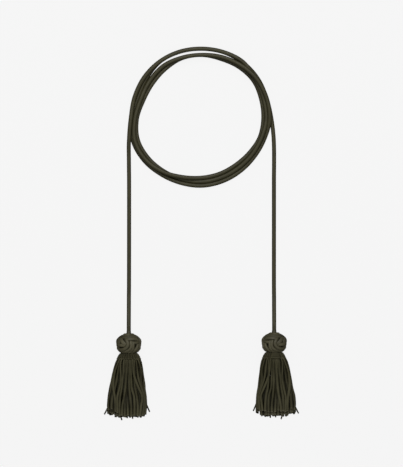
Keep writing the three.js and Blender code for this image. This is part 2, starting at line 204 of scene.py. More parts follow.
class Strip:
    """Gathers swept leather strips, so that many of them become one mesh."""

    def __init__(self):
        self.places = []
        self.faces = []
        self.runs = []
        self.crown_wear_and_light_marks = []
        self.tones = []
        self.cuts = []

    def add_corner(self, place, run, crown_wear_and_light, tone, cut=0.0):
        """One corner of the mesh, with its run along and round the strip and its marks."""
        self.places.append(place)
        self.runs.append(run)
        self.crown_wear_and_light_marks.append(crown_wear_and_light)
        self.tones.append(tone)
        self.cuts.append(cut)

    def join_rings(self, here, there, sides):
        """Faces between two rings of corners, each ring known by its first corner."""
        for corner in range(sides):
            beside = (corner + 1) % sides
            self.faces.append((here + corner, here + beside, there + beside, there + corner))

    def sweep(self, line, ups, widths, depths, sides, power=2.0, tone=0.5, slant=0.0):
        """Adds a closed strip along a line. Power 2 gives a round section, and more a squarer one.

        With a slant the far end is a raw cut, whose top edge lies that far behind its bottom edge."""
        first = len(self.places)
        length = 0.0
        for index, point in enumerate(line):
            ahead = line[min(index + 1, len(line) - 1)]
            behind = line[max(index - 1, 0)]
            if index:
                length += (point - line[index - 1]).length
            tangent = (ahead - behind).normalized()
            side = tangent.cross(ups[index]).normalized()
            up = side.cross(tangent).normalized()
            girth = GIRTH_SHARE * (widths[index] + depths[index])
            for corner in range(sides):
                angle = (corner + 0.5) / sides * 2 * math.pi
                across = math.copysign(abs(math.cos(angle)) ** (2 / power), math.cos(angle))
                rise = math.copysign(abs(math.sin(angle)) ** (2 / power), math.sin(angle))
                # The crown mark is wear with painted light on the strip's outer side, and painted shade
                # on its edges and underside
                self.add_corner(
                    point + side * across * widths[index] / 2 + up * rise * depths[index] / 2,
                    (length, angle / (2 * math.pi) * girth),
                    max(0.0, rise) * (1 - EDGE_WEAR_AND_LIGHT_FALL * abs(across)),
                    tone[index] if isinstance(tone, list) else tone,
                )
        for index in range(len(line) - 1):
            self.join_rings(first + index * sides, first + (index + 1) * sides, sides)
        last = first + (len(line) - 1) * sides
        if slant:
            last = self.cut_end(last, sides, tangent, slant)
        self.faces.append(tuple(first + corner for corner in reversed(range(sides))))
        self.faces.append(tuple(last + corner for corner in range(sides)))

    def cut_end(self, last, sides, tangent, slant):
        """Slants the last ring, adds the flat of a raw cut and returns that flat's first corner."""
        for corner in range(sides):
            rise = math.sin((corner + 0.5) / sides * 2 * math.pi)
            self.places[last + corner] -= tangent * slant * (1 + rise) / 2
        middle = sum(self.places[last:], Vector()) / sides
        for corner in range(sides):
            self.add_corner(
                middle.lerp(self.places[last + corner], CUT_SIZE) + tangent * CUT_STAND,
                self.runs[last + corner],
                CUT_CROWN_WEAR_AND_LIGHT,
                self.tones[last + corner],
                cut=1.0,
            )
        self.join_rings(last, last + sides, sides)
        return last + sides

    def finish(self, name, material):
        mesh = bpy.data.meshes.new(name)
        mesh.from_pydata([tuple(place) for place in self.places], [], self.faces)
        mesh.update()
        run = mesh.uv_layers.new(name="run")
        for loop in mesh.loops:
            run.data[loop.index].uv = self.runs[loop.vertex_index]
        for mark, values in (("crown_wear_and_light", self.crown_wear_and_light_marks), ("tone", self.tones), ("cut", self.cuts)):
            attribute = mesh.attributes.new(mark, "FLOAT", "POINT")
            attribute.data.foreach_set("value", values)
        for face in mesh.polygons:
            face.use_smooth = True
        piece = bpy.data.objects.new(name, mesh)
        bpy.context.collection.objects.link(piece)
        mesh.materials.append(material)
        return piece


# The leather's patterns: their sizes, the detail of their noise, and how strongly each one shows
CLOUD_SIZE = 9 * MM
CLOUD_DETAIL = 4
CREASE_SIZE = 1.6 * MM
CREASE_DETAIL = 5
CREASE_RELIEF = 1.5
PEBBLE_SIZE = 0.45 * MM
RELIEF_DEPTH = 0.05 * MM
RELIEF_STRENGTH = 0.6
# How much the crown mark pales the leather, as wear and as painted light
CROWN_WEAR_AND_LIGHT = 0.5
LEAST_WEAR = 0.35
ROUGHER, SMOOTHER = 0.1, 0.08
RAW_FIBRES = (0.11, 0.102, 0.066)

# A mix node's sockets for colours: the two that go in, and the one that comes out
MIX_FIRST, MIX_SECOND, MIX_RESULT = 6, 7, 2


def strip_mark(tree, name):
    """A value that the strips' corners carry."""
    node = tree.nodes.new("ShaderNodeAttribute")
    node.attribute_name = name
    return node.outputs["Fac"]


def noise(tree, place, size, detail):
    node = tree.nodes.new("ShaderNodeTexNoise")
    node.inputs["Scale"].default_value = 1 / size
    node.inputs["Detail"].default_value = detail
    tree.links.new(place, node.inputs["Vector"])
    return node.outputs["Fac"]


def reckon(tree, operation, values, clamp=False):
    """A maths node, whose values are numbers or the outputs of other nodes."""
    node = tree.nodes.new("ShaderNodeMath")
    node.operation = operation
    node.use_clamp = clamp
    for socket, value in zip(node.inputs, values):
        if isinstance(value, float):
            socket.default_value = value
        else:
            tree.links.new(value, socket)
    return node.outputs[0]


def mix_colours(tree, share, first, second):
    """A mix node, whose colours are three numbers or the outputs of other nodes."""
    node = tree.nodes.new("ShaderNodeMix")
    node.data_type = "RGBA"
    tree.links.new(share, node.inputs[0])
    for socket, colour in ((MIX_FIRST, first), (MIX_SECOND, second)):
        if isinstance(colour, tuple):
            node.inputs[socket].default_value = (*colour, 1)
        else:
            tree.links.new(colour, node.inputs[socket])
    return node.outputs[MIX_RESULT]


def leather(name, dark_and_shaded, pale_worn_and_lit, roughness=0.5, glint=0.22):
    """Smooth aniline leather: a cloudy colour, fine pebbles and creases, and paler crowns that are
    partly wear and partly painted light.

    The first colour is the darker leather with the painted shade of its hollows, and the second the
    paler leather with the wear and painted light of its crowns. A cut lays its raw fibres bare."""
    material = bpy.data.materials.new(name)
    material.use_nodes = True
    tree = material.node_tree
    shader = tree.nodes["Principled BSDF"]
    place = tree.nodes.new("ShaderNodeTexCoord").outputs["Object"]
    clouds = noise(tree, place, CLOUD_SIZE, CLOUD_DETAIL)
    creases = noise(tree, place, CREASE_SIZE, CREASE_DETAIL)

    crown_wear_and_light, tone = strip_mark(tree, "crown_wear_and_light"), strip_mark(tree, "tone")
    # Painted light on the crowns and painted shade in the hollows, with wear and the strip's own tone
    wear_and_light = reckon(tree, "MULTIPLY_ADD", [crown_wear_and_light, CROWN_WEAR_AND_LIGHT, tone])
    patches = reckon(tree, "ADD", [clouds, LEAST_WEAR])
    blend = reckon(tree, "MULTIPLY", [wear_and_light, patches], clamp=True)
    uncut = mix_colours(tree, blend, dark_and_shaded, pale_worn_and_lit)
    colour = mix_colours(tree, strip_mark(tree, "cut"), uncut, RAW_FIBRES)
    tree.links.new(colour, shader.inputs["Base Color"])

    gloss = tree.nodes.new("ShaderNodeMapRange")
    gloss.inputs["To Min"].default_value = roughness + ROUGHER
    gloss.inputs["To Max"].default_value = roughness - SMOOTHER
    tree.links.new(creases, gloss.inputs["Value"])
    tree.links.new(gloss.outputs[0], shader.inputs["Roughness"])

    pebbles = tree.nodes.new("ShaderNodeTexVoronoi")
    pebbles.feature = "SMOOTH_F1"
    pebbles.inputs["Scale"].default_value = 1 / PEBBLE_SIZE
    tree.links.new(place, pebbles.inputs["Vector"])
    relief = reckon(tree, "MULTIPLY_ADD", [creases, CREASE_RELIEF, pebbles.outputs["Distance"]])
    bump = tree.nodes.new("ShaderNodeBump")
    bump.inputs["Strength"].default_value = RELIEF_STRENGTH
    bump.inputs["Distance"].default_value = RELIEF_DEPTH
    tree.links.new(relief, bump.inputs["Height"])
    tree.links.new(bump.outputs[0], shader.inputs["Normal"])
    shader.inputs["Specular IOR Level"].default_value = glint
    return material


def dressed(piece, node):
    """A finished piece hangs from the root and stands in for its plain solid, which is hidden."""
    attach(piece, "root")
    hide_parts(node)
    return piece


cord_leather = leather("cord_leather", dark_and_shaded=(0.011, 0.0098, 0.0037), pale_worn_and_lit=(0.0355, 0.032, 0.0133))
cord_route = lead_points(LEFT_LEAD) + coil_points() + lead_points(RIGHT_LEAD)
cord_line = [
    Vector((point.x, point.y, max(point.z, CORD_DIAMETER / 2)))
    for point in smooth_through(cord_route, CORD_STEPS)
]
cord_strip = Strip()
cord_strip.sweep(
    cord_line,
    [UP] * len(cord_line),
    [CORD_BREADTH] * len(cord_line),
    [CORD_DIAMETER] * len(cord_line),
    CORD_SIDES,
)
long_cord = dressed(cord_strip.finish("long_cord", cord_leather), "cord")

# The button knots
# Each lead ends in a ball about two and a half centimetres across, plaited from the same leather. Flat
# plies pass over and under one another round a padded core, and the cord comes out through a small
# collar. Painted shade makes the plies a little darker towards the cord, and painted light makes them
# paler towards the seat.
KNOT_WIDTH = 26.4 * MM
KNOT_LENGTH = 22 * MM
KNOT_DEPTH = 24 * MM
KNOT_SHADE = 0.35
PIECE_GAP = 0.3 * MM

# The knot's end towards the band: how far its flat seat lies from the knot's middle, and its fullness,
# which would be 2 for a ball
KNOT_SEAT = 9.8 * MM
LOWER_FULLNESS = 3.3

# A ply: how far its middle lies inside the knot's outline, and as shares of its width and length the
# width of its tucked ends and the stretch over which it narrows to them
PLY_THICKNESS = 2.9 * MM
PLY_INSET = 2.1 * MM
PLY_SIDES = 14
PLY_STEPS = 8
PLY_SQUARENESS = 2.5
PLY_END_WIDTH = 0.78
PLY_TAPER = 1 / 6
PLY_TONES = (0.3, 0.6)

# The collar round the cord: how far it stands out of the knot, goes on into it and grips the cord,
# and the size of the band's top end
COLLAR_STAND = 1 * MM
COLLAR_REACH = 3 * MM
COLLAR_GRIP = 0.7 * MM
COLLAR_SIDES = 24
BAND_TOP_WIDTH = 18.2 * MM
BAND_TOP_DEPTH = 13.4 * MM

# Down the tassel from the end of the cord
COLLAR_FACE = -PIECE_GAP
KNOT_CENTRE = COLLAR_FACE - COLLAR_STAND - KNOT_LENGTH / 2
KNOT_FOOT = KNOT_CENTRE - KNOT_SEAT

# The plies as they lie on the left knot, seen from above. Each point is across, along towards the
# cord, and the lift over the core in half ply thicknesses. The places are in quarter turns from the
# knot's crown, so that 1 is its edge and more is round on its underside. The width is in millimetres.
PLIES = {
    "inner hook": (3.7, [
        (-0.2, 0.5, -0.6), (-0.17, 0.36, 0), (-0.11, 0.2, 0.4), (-0.05, 0.04, 0.7),
        (-0.05, -0.12, 0.75), (-0.14, -0.3, 0.6), (-0.31, -0.46, 0.5), (-0.56, -0.55, 0.4),
        (-0.85, -0.52, 0.2), (-1.08, -0.4, -0.3),
    ]),
    "outer hook": (3.4, [
        (0.1, 0.3, -0.7), (0.12, 0.16, -0.1), (0.13, 0.03, 0.3), (0.14, -0.13, 0.4),
        (0.1, -0.32, 0.4), (-0.02, -0.52, 0.35), (-0.2, -0.67, 0.3), (-0.5, -0.8, 0),
        (-0.8, -0.74, -0.2),
    ]),
    "third hook": (3.2, [
        (0.27, 0.14, -0.5), (0.27, 0, 0.1), (0.25, -0.14, 0.35), (0.24, -0.3, 0.3),
        (0.16, -0.52, 0.25), (0, -0.74, 0), (-0.2, -0.9, -0.3),
    ]),
    "front bar": (3.9, [
        (-0.24, 0.3, -0.5), (-0.1, 0.31, 0.2), (0.13, 0.31, 0.7), (0.34, 0.32, 0.7),
        (0.52, 0.3, 0.45), (0.7, 0.2, 0), (0.82, 0.06, -0.5),
    ]),
    "back bar": (3.8, [
        (-0.5, 0.5, -0.5), (-0.3, 0.49, 0), (0, 0.5, 0.25), (0.25, 0.52, 0.3),
        (0.46, 0.54, 0.25), (0.7, 0.5, 0.1), (0.92, 0.3, 0.1), (1.02, 0.08, -0.3),
    ]),
    "crown wrap": (4.2, [
        (-0.5, 0.72, -0.4), (-0.22, 0.69, 0.1), (0.06, 0.68, 0.3), (0.33, 0.68, 0.3),
        (0.6, 0.66, 0), (0.82, 0.5, -0.4),
    ]),
    "left diagonal": (4.3, [
        (-0.62, 0.5, -0.5), (-0.5, 0.34, 0.2), (-0.42, 0.2, 0.45), (-0.34, 0.08, 0.4),
        (-0.22, -0.04, 0), (-0.12, -0.14, -0.5),
    ]),
    "left column": (4.4, [
        (-0.76, 0.54, -0.3), (-0.71, 0.36, 0.25), (-0.66, 0.1, 0.4), (-0.69, -0.1, 0.2),
        (-0.8, -0.26, -0.4),
    ]),
    "left cross ply": (3.8, [
        (-1.1, -0.04, -0.4), (-0.88, -0.07, 0.1), (-0.62, -0.12, 0.4), (-0.4, -0.13, 0.3),
        (-0.22, -0.15, -0.3),
    ]),
    "left foot ply": (4.8, [
        (-1.1, -0.11, -0.5), (-0.98, -0.25, 0), (-0.82, -0.36, -0.1), (-0.6, -0.44, -0.5),
    ]),
    "left shoulder": (4.4, [
        (-0.2, 0.82, -0.2), (-0.5, 0.78, 0.3), (-0.8, 0.6, 0.5), (-1, 0.34, 0.8), (-1.08, 0, 0.3),
    ]),
    "tucked bar": (3.5, [
        (0.06, 0.14, -0.5), (0.2, 0.08, -0.1), (0.35, 0.06, 0.1), (0.5, 0.07, 0.1),
        (0.66, 0.14, -0.1), (0.82, 0.24, -0.5),
    ]),
    "right ply": (3.9, [
        (0.62, 0, -0.5), (0.6, -0.14, 0.1), (0.54, -0.28, 0.35), (0.45, -0.42, 0.35),
        (0.34, -0.56, 0.2), (0.16, -0.72, -0.2),
    ]),
    "right column": (3.4, [
        (0.8, 0.3, -0.5), (0.82, 0.12, 0), (0.84, -0.06, 0.2), (0.8, -0.24, 0.25),
        (0.7, -0.46, 0.15), (0.58, -0.64, 0), (0.4, -0.8, -0.3),
    ]),
    "right edge": (4.4, [
        (0.96, 0.34, -0.3), (1.02, 0.1, 0.2), (1.05, -0.12, 0.3), (1, -0.38, 0.1),
        (0.84, -0.7, 0),
    ]),
    "foot ply": (4.4, [
        (0.02, -0.98, -0.4), (0.3, -0.92, 0.1), (0.6, -0.82, 0.2), (0.86, -0.6, -0.2),
    ]),
    "seat wrap": (3.2, [
        (-0.8, -0.44, -0.4), (-0.56, -0.6, 0.1), (-0.3, -0.69, 0.3), (-0.02, -0.72, 0.3),
        (0.26, -0.69, 0.1), (0.5, -0.6, -0.3),
    ]),
}

# The short plies that wrap the knot's top end, side by side round the collar. Each one spans a share
# of a turn, starts ahead by a share of that, and is drawn in and down towards its end.
CROWN_TURNS = 3
CROWN_TURN_SPAN = 0.42
CROWN_TURN_LEAD = 0.3
CROWN_TURN_WIDTH = 4.5 * MM
CROWN_TURN_END_WIDTH = 0.75
CROWN_TURN_RADIUS = 4.7 * MM
CROWN_TURN_DRAW = 0.8 * MM
CROWN_TURN_HEIGHT = 8.95 * MM
CROWN_TURN_DROP = 1.3 * MM
CROWN_TURN_LEAN = 0.62
CROWN_TURN_STEPS = 18

# The padded core: its rows and sides, its sizes in ply thicknesses less than the knot's, the share of
# a half turn left out at either end, and the least step from row to row
CORE_ROWS = 24
CORE_SIDES = 32
CORE_END_INSET = 0.4
CORE_SLIMMING = 2.2
CORE_END = 0.03
CORE_ROW_STEP = 0.01 * MM
# The core and the neck are darker than the plies, painted shade where they show between and below them
CORE_SHADE_TONE = 0.1

# The collar from the cord down into the knot: share of its reach, and width in millimetres
COLLAR_FLARE = [(0, 4.3), (0.1, 4.6), (0.3, 4.7), (0.45, 5), (0.62, 6.2), (0.8, 8), (1, 9)]

# The oval neck below the core: place down the tassel, and inset from the band's top in millimetres
NECK_RINGS = [(KNOT_CENTRE, 0.8), (KNOT_FOOT + 1 * MM, 0.8), (KNOT_FOOT, 1.4)]


def knot_place(across, along, lift, mirror, face):
    """The place and the outward direction of a point on a knot, from the knot's own middle.

    The face is 1 for the top side. It is -1 for the underside, which the floor presses flat."""
    reach = math.hypot(across, along)
    turn = reach * math.pi / 2
    spread = math.sin(turn) / reach if reach else 0
    outward = Vector((across * spread, along * spread, math.cos(turn)))
    if outward.y < 0:
        round_width = max(TINY, math.sqrt(1 - outward.y**2))
        full_width = (1 - abs(outward.y) ** LOWER_FULLNESS) ** (1 / LOWER_FULLNESS)
        outward.x *= full_width / round_width
        outward.z *= full_width / round_width
    half = Vector((KNOT_WIDTH, KNOT_LENGTH, KNOT_DEPTH)) / 2 - Vector((1, 1, 1)) * PLY_INSET
    place = Vector(x * y for x, y in zip(outward, half))
    direction = Vector(x / y for x, y in zip(outward, half)).normalized()
    place += direction * lift * PLY_THICKNESS / 2
    place.y = max(place.y, PLY_THICKNESS / 2 - KNOT_SEAT)
    if face < 0:
        place.z = min(place.z, KNOT_AXIS_HEIGHT - PLY_THICKNESS / 2)
    turned = Vector((mirror * face, 1, face))
    return (
        Vector(x * y for x, y in zip(place, turned)),
        Vector(x * y for x, y in zip(direction, turned)),
    )


def lay_plies(strip, middle, mirror, face, rng):
    """The plies of one side of a knot, each a little narrower at its tucked ends."""
    for width, points in PLIES.values():
        chart = smooth_through([Vector(point) for point in points], PLY_STEPS)
        placed = [knot_place(*point, mirror, face) for point in chart]
        last = len(placed) - 1
        widths = []
        for index in range(len(placed)):
            free = min(1, min(index, last - index) / last / PLY_TAPER)
            widths.append(width * MM * (PLY_END_WIDTH + (1 - PLY_END_WIDTH) * free))
        tone = rng.uniform(*PLY_TONES)
        # Each ply has a random tone, with painted shade towards the cord and painted light towards the
        # seat
        strip.sweep(
            [middle + place for place, _ in placed],
            [direction for _, direction in placed],
            widths,
            [PLY_THICKNESS] * len(placed),
            PLY_SIDES,
            power=PLY_SQUARENESS,
            tone=[tone - KNOT_SHADE * point.y for point in chart],
        )


def lay_crown_turns(strip, middle, mirror, rng):
    """Short plies side by side round the collar, each one tucked under the next."""
    for turn in range(CROWN_TURNS):
        line, ups, widths = [], [], []
        for step in range(CROWN_TURN_STEPS + 1):
            share = step / CROWN_TURN_STEPS
            angle = 2 * math.pi * (turn / CROWN_TURNS + CROWN_TURN_SPAN * (share - CROWN_TURN_LEAD))
            out = Vector((mirror * math.cos(angle), 0, math.sin(angle)))
            radius = CROWN_TURN_RADIUS - CROWN_TURN_DRAW * share
            height = CROWN_TURN_HEIGHT - CROWN_TURN_DROP * share**2
            line.append(middle + out * radius + Vector((0, height, 0)))
            ups.append((out * CROWN_TURN_LEAN + Vector((0, 1, 0))).normalized())
            bulge = (1 - CROWN_TURN_END_WIDTH) * math.sin(math.pi * share)
            widths.append(CROWN_TURN_WIDTH * (CROWN_TURN_END_WIDTH + bulge))
        depths = [PLY_THICKNESS] * len(line)
        tone = rng.uniform(*PLY_TONES)
        strip.sweep(line, ups, widths, depths, PLY_SIDES, power=PLY_SQUARENESS, tone=tone)


def lay_core(strip, middle):
    """The padded core under the plies, as a stack of rings along the tassel, dark with painted shade
    where it shows between them.
    """
    half_length = KNOT_LENGTH / 2 - PLY_INSET - CORE_END_INSET * PLY_THICKNESS
    line, widths, depths = [], [], []
    for row in range(CORE_ROWS + 1):
        turn = math.pi * (CORE_END + (1 - 2 * CORE_END) * row / CORE_ROWS)
        y = max(half_length * math.cos(turn), PLY_THICKNESS / 2 - KNOT_SEAT)
        line.append(middle + Vector((0, y - CORE_ROW_STEP * row, 0)))
        widths.append((KNOT_WIDTH - CORE_SLIMMING * PLY_THICKNESS) * math.sin(turn))
        depths.append((KNOT_DEPTH - CORE_SLIMMING * PLY_THICKNESS) * math.sin(turn))
    strip.sweep(line, [UP] * len(line), widths, depths, CORE_SIDES, tone=CORE_SHADE_TONE)


def lay_collar(strip, cord_end):
    """A flare that grips the cord, darkest as painted shade where the cord goes in, and the oval neck
    that carries the band below the knot, dark with painted shade.
    """
    axis = Vector((cord_end.x, cord_end.y, KNOT_AXIS_HEIGHT))
    reach = COLLAR_GRIP + COLLAR_STAND + COLLAR_REACH
    flare = [axis + Vector((0, COLLAR_GRIP - share * reach, 0)) for share, _ in COLLAR_FLARE]
    sizes = [width * MM for _, width in COLLAR_FLARE]
    # The collar's tone of nought is painted shade in the crevice round the cord
    strip.sweep(flare, [UP] * len(flare), sizes, sizes, COLLAR_SIDES, tone=0)
    neck = [axis + Vector((0, y, 0)) for y, _ in NECK_RINGS]
    widths = [BAND_TOP_WIDTH - inset * MM for _, inset in NECK_RINGS]
    depths = [BAND_TOP_DEPTH - inset * MM for _, inset in NECK_RINGS]
    strip.sweep(neck, [UP] * len(neck), widths, depths, CORE_SIDES, tone=CORE_SHADE_TONE)


TASSELS = [
    ("left", 1, cord_route[0]),
    ("right", -1, cord_route[-1]),
]
knot_leather = leather("knot_leather", dark_and_shaded=(0.0155, 0.0139, 0.0063), pale_worn_and_lit=(0.0735, 0.0668, 0.0368))
for side, mirror, cord_end in TASSELS:
    rng = random.Random(f"{side} knot")
    knot_middle = Vector((cord_end.x, cord_end.y + KNOT_CENTRE, KNOT_AXIS_HEIGHT))
    knot_strip = Strip()
    for face in (1, -1):
        lay_plies(knot_strip, knot_middle, mirror, face, rng)
    lay_crown_turns(knot_strip, knot_middle, mirror, rng)
    lay_core(knot_strip, knot_middle)
    lay_collar(knot_strip, cord_end)
    knot = knot_strip.finish(f"{side}_button_knot", knot_leather)
    dressed(knot, f"{side}_knot")

# The neck bands
# Under each knot the uncut top of the fringe's leather is gathered round the cord's end. Its small
# upright folds stand a little proud, and on the right tassel its plain overlap lies to the front.
BAND_LENGTH = 6.4 * MM
BAND_FOOT_WIDTH = 25.6 * MM
BAND_FOOT_DEPTH = 12.6 * MM
BAND_DROP = 2.4 * MM
BAND_WALL = 1.5 * MM
BAND_BULGE = 0.6 * MM
BAND_TONE = 0.4
BAND_TOP = KNOT_FOOT - PIECE_GAP
BAND_FOOT = BAND_TOP - BAND_LENGTH

# The folds: their heights are shares of the depth, taken from the middle of the wall's outside, and
# they lean by shares of a fold
FOLD_COUNT = 26
FOLD_SIDES = 8
FOLD_DEPTH = 1.2 * MM
FOLD_MIDDLE = 0.75
FOLD_SHARPNESS = 1.2
FOLD_HEIGHTS = (0.6, 1.15)
FOLD_LEANS = (-0.45, 0.45)

# The band's wall in section, from its top lip over the outside and back: share of the way down,
# and inset from the outside in walls
BAND_SECTION = [
    (0.06, 1), (0, 0.7), (-0.03, 0.4), (0, 0.1), (0.06, 0), (0.22, 0), (0.42, 0.02), (0.58, 0.04),
    (0.7, 0.1), (0.77, 0.24), (0.83, 0.14), (0.9, 0), (0.97, 0.1), (1.01, 0.45), (0.98, 0.8), (0.9, 1),
    (0.5, 1),
]

# The plain overlap of each band, from and to in degrees from the tassel's right over its front, with
# the degrees that its edge takes up, its height in fold depths and the share of its crown mark, wear
# and painted light, that it lacks
PLAIN_OVERLAP = {"left": (0, 0), "right": (58, 104)}
OVERLAP_EDGE = 6
OVERLAP_HEIGHT = 1.1
OVERLAP_CROWN_LOSS = 0.5


def between(start, stop, share):
    return start + (stop - start) * share


def make_band(side, cord_end, material):
    rng = random.Random(f"{side} band")
    sides = FOLD_COUNT * FOLD_SIDES
    fold_heights = [rng.uniform(*FOLD_HEIGHTS) for _ in range(FOLD_COUNT)]
    fold_leans = [rng.uniform(*FOLD_LEANS) for _ in range(FOLD_COUNT)]
    plain_from, plain_to = PLAIN_OVERLAP[side]
    strip = Strip()
    for down, inset in BAND_SECTION:
        bulge = BAND_BULGE * math.sin(math.pi * down)
        width = between(BAND_TOP_WIDTH, BAND_FOOT_WIDTH, down) + bulge
        depth = between(BAND_TOP_DEPTH, BAND_FOOT_DEPTH, down)
        outside = max(0.0, 1 - inset)
        for corner in range(sides):
            turn = corner / sides * FOLD_COUNT
            fold = int(turn) % FOLD_COUNT
            phase = turn + fold_leans[fold] * (down - 0.5)
            ridge = abs(math.sin(math.pi * phase)) ** FOLD_SHARPNESS * fold_heights[fold]
            degrees = corner / sides * 360
            within = min(degrees - plain_from, plain_to - degrees)
            plain = min(1.0, max(0.0, within / OVERLAP_EDGE))
            ridge = between(ridge, OVERLAP_HEIGHT, plain)
            out = FOLD_DEPTH * (ridge - FOLD_MIDDLE) * outside - inset * BAND_WALL
            angle = corner / sides * 2 * math.pi
            place = Vector((
                cord_end.x + (width / 2 + out) * math.cos(angle),
                cord_end.y + BAND_TOP - BAND_LENGTH * down,
                KNOT_AXIS_HEIGHT - BAND_DROP * down + (depth / 2 + out) * math.sin(angle),
            ))
            # The ridges of the folds are paler and their hollows darker: wear with painted light and
            # painted shade
            crown_wear_and_light = ridge * outside * (1 - OVERLAP_CROWN_LOSS * plain)
            strip.add_corner(place, (BAND_LENGTH * down, width * angle / 2), crown_wear_and_light, BAND_TONE)
    rows = len(BAND_SECTION)
    for row in range(rows):
        below = (row + 1) % rows
        strip.join_rings(row * sides, below * sides, sides)
    return strip.finish(f"{side}_gathered_band", material)


# Its first colour is near black, painted shade in the hollows between the folds
band_leather = leather(
    "band_leather", dark_and_shaded=(0.0025, 0.0021, 0.0001), pale_worn_and_lit=(0.0575, 0.0525, 0.0258), glint=0.15,
)
for side, _, cord_end in TASSELS:
    dressed(make_band(side, cord_end, band_leather), f"{side}_neck_band")

# The fringes
# Each fringe is a strip of thin leather, slit into thongs almost to its top edge and rolled up
# inside the band. The thongs of every turn of the roll hang loose, and lie flattened on the floor.
FRINGE_LENGTH = 59.7 * MM
HEM_WIDTH = 42.6 * MM
HEM_DEPTH = 6.2 * MM
HEM_LEAN = 2.1 * MM
LEAN_BOW = 0.3
FLOOR_SINK = 0.5 * MM
FRINGE_SQUARENESS = 2.5
FRINGE_TOP = BAND_FOOT - PIECE_GAP

# A thong: its full size and how widths vary, the least height of its middle line over the floor, the
# slant of its cut, and as shares of the fringe's length how far it is tucked into the band and where
# it has its full width
THONG_WIDTH = 2.5 * MM
THONG_WIDTHS = (0.9, 1.08)
THONG_ROOT_WIDTH = 0.62
THONG_THICKNESS = 1.2 * MM
THONG_REST = 1.02 * MM
THONG_SIDES = 12
THONG_SQUARENESS = 2.8
THONG_STEPS = 40
RAW_SLANT = 1.5 * MM
TUCK = 0.05
FULL_WIDTH_FROM = 0.4

# How a thong is turned: it leans outwards towards the fringe's edges, but less from where it lies
# flat, and it twists to and fro
EDGE_LEAN = 1.1
FLAT_LEAN_LOSS = 0.75
FLAT_FROM = 2 / 3
LEAN_TIP = 0.7
TWIST = 0.34
TWIST_RATES = (0.6, 1.6)

# How its tone changes: it is paler where it rides high and darker where it sinks, as painted light and
# painted shade; paler towards the band; and paler towards its cut end, as painted light where the ends
# lie in shade under the thongs above
RIDE_LIGHT_AND_SHADE = 0.2
LENGTH_TONE = 0.18
HEM_LIGHT_TONE = 0.7
HEM_LIGHT_FROM = 0.83

# Down the fringe: the place, and as shares of the change from the band to the hem the spread and
# the thinning, and the share of the band's height that is left
FRINGE_SECTIONS = [
    (-0.1, -0.5, 0.5, 1.1),
    (-0.03, -0.3, 0.42, 1.03),
    (0, 0, 0.25, 1),
    (0.05, 0.16, 0.06, 0.79),
    (0.16, 0.35, 0.22, 0.44),
    (0.3, 0.51, 0.44, 0.17),
    (0.45, 0.69, 0.66, 0.05),
    (0.63, 0.89, 0.81, 0),
    (0.8, 1, 0.91, 0),
    (1.1, 1, 1, 0),
]

# The thongs of the left fringe's outermost turn that lie on top. First where each lies across, in
# half widths, at these places down the fringe, then how far it rides over its neighbours at the
# band, halfway and at the hem, in half thicknesses.
TOP_STATIONS = [-0.05, 0.05, 0.2, 0.35, 0.5, 0.65, 0.8, 1]
RIDE_STATIONS = [-0.05, 0.5, 1]
ROUTE_STEPS = 6
TOP_TONES = (0.35, 0.75)
TOP_ENDS = (-0.02, 0.012)
TOP_THONGS = {
    "left edge": ([-0.94, -0.94, -0.93, -0.92, -0.9, -0.93, -0.92, -0.86], [0, 0, 0]),
    "left bright": ([-0.76, -0.78, -0.84, -0.83, -0.75, -0.62, -0.56, -0.57], [2, 1.8, -0.6]),
    "left tucked": ([-0.66, -0.67, -0.65, -0.64, -0.68, -0.74, -0.75, -0.72], [-0.8, -1, -0.2]),
    "left over": ([-0.58, -0.58, -0.48, -0.4, -0.43, -0.49, -0.47, -0.45], [0.3, 0.4, 1]),
    "fifth": ([-0.38, -0.37, -0.3, -0.3, -0.31, -0.35, -0.36, -0.34], [0, 0.6, 0]),
    "sunken": ([-0.28, -0.28, -0.22, -0.19, -0.17, -0.13, -0.1, -0.11], [-0.4, -2.6, -0.2]),
    "sixth": ([-0.19, -0.18, -0.11, -0.1, -0.11, -0.15, -0.22, -0.25], [0.4, 0.4, 0.3]),
    "middle": ([-0.06, -0.06, -0.04, -0.04, -0.03, 0, 0.03, 0.05], [0, -3.2, 0.4]),
    "seventh": ([0.06, 0.07, 0.08, 0.09, 0.12, 0.16, 0.21, 0.21], [0.3, 0.5, 0]),
    "ninth": ([0.19, 0.18, 0.19, 0.22, 0.25, 0.36, 0.37, 0.36], [-0.4, 0.6, 0.2]),
    "eighth": ([0.31, 0.31, 0.34, 0.46, 0.63, 0.77, 0.7, 0.64], [0.6, 1.2, 0.3]),
    "twelfth": ([0.44, 0.43, 0.39, 0.41, 0.43, 0.5, 0.53, 0.53], [-0.3, -0.8, 0.1]),
    "tenth": ([0.57, 0.58, 0.6, 0.66, 0.78, 0.87, 0.83, 0.77], [0.3, 1, 0.4]),
    "eleventh": ([0.75, 0.78, 0.84, 0.79, 0.83, 0.9, 0.91, 0.87], [0.6, -0.2, -0.3]),
    "right edge": ([0.93, 0.94, 0.94, 0.95, 0.94, 0.95, 0.94, 0.88], [-0.2, -0.4, -0.4]),
}

# The turns under them, from the top down to the floor: thongs, level from 1 at the top to -1, the
# share of the width that they cover, and the mean shortfall at the hem
UNDER_LAYERS = [
    (15, 0.56, 0.9, 0.03),
    (15, 0.12, 0.95, 0.012),
    (15, -0.35, 0.95, 0.006),
    (15, -1, 0.93, 0),
]

# How they vary: the place within a thong's share of the width, its tone, darker than the top layer's as
# painted shade, and its end, and its wandering in waves and a drift, which is full from halfway down
# and stays short of the fringe's edge
UNDER_PLACES = (0.35, 0.65)
UNDER_SHADE_TONES = (-0.27, 0.05)
UNDER_ENDS = (-0.014, 0.004)
WANDER_RATES = (0.4, 1.3)
WANDER_SIZES = (0.015, 0.04)
DRIFT = 0.05
WANDER_FROM = 0.5
UNDER_EDGE = 0.955

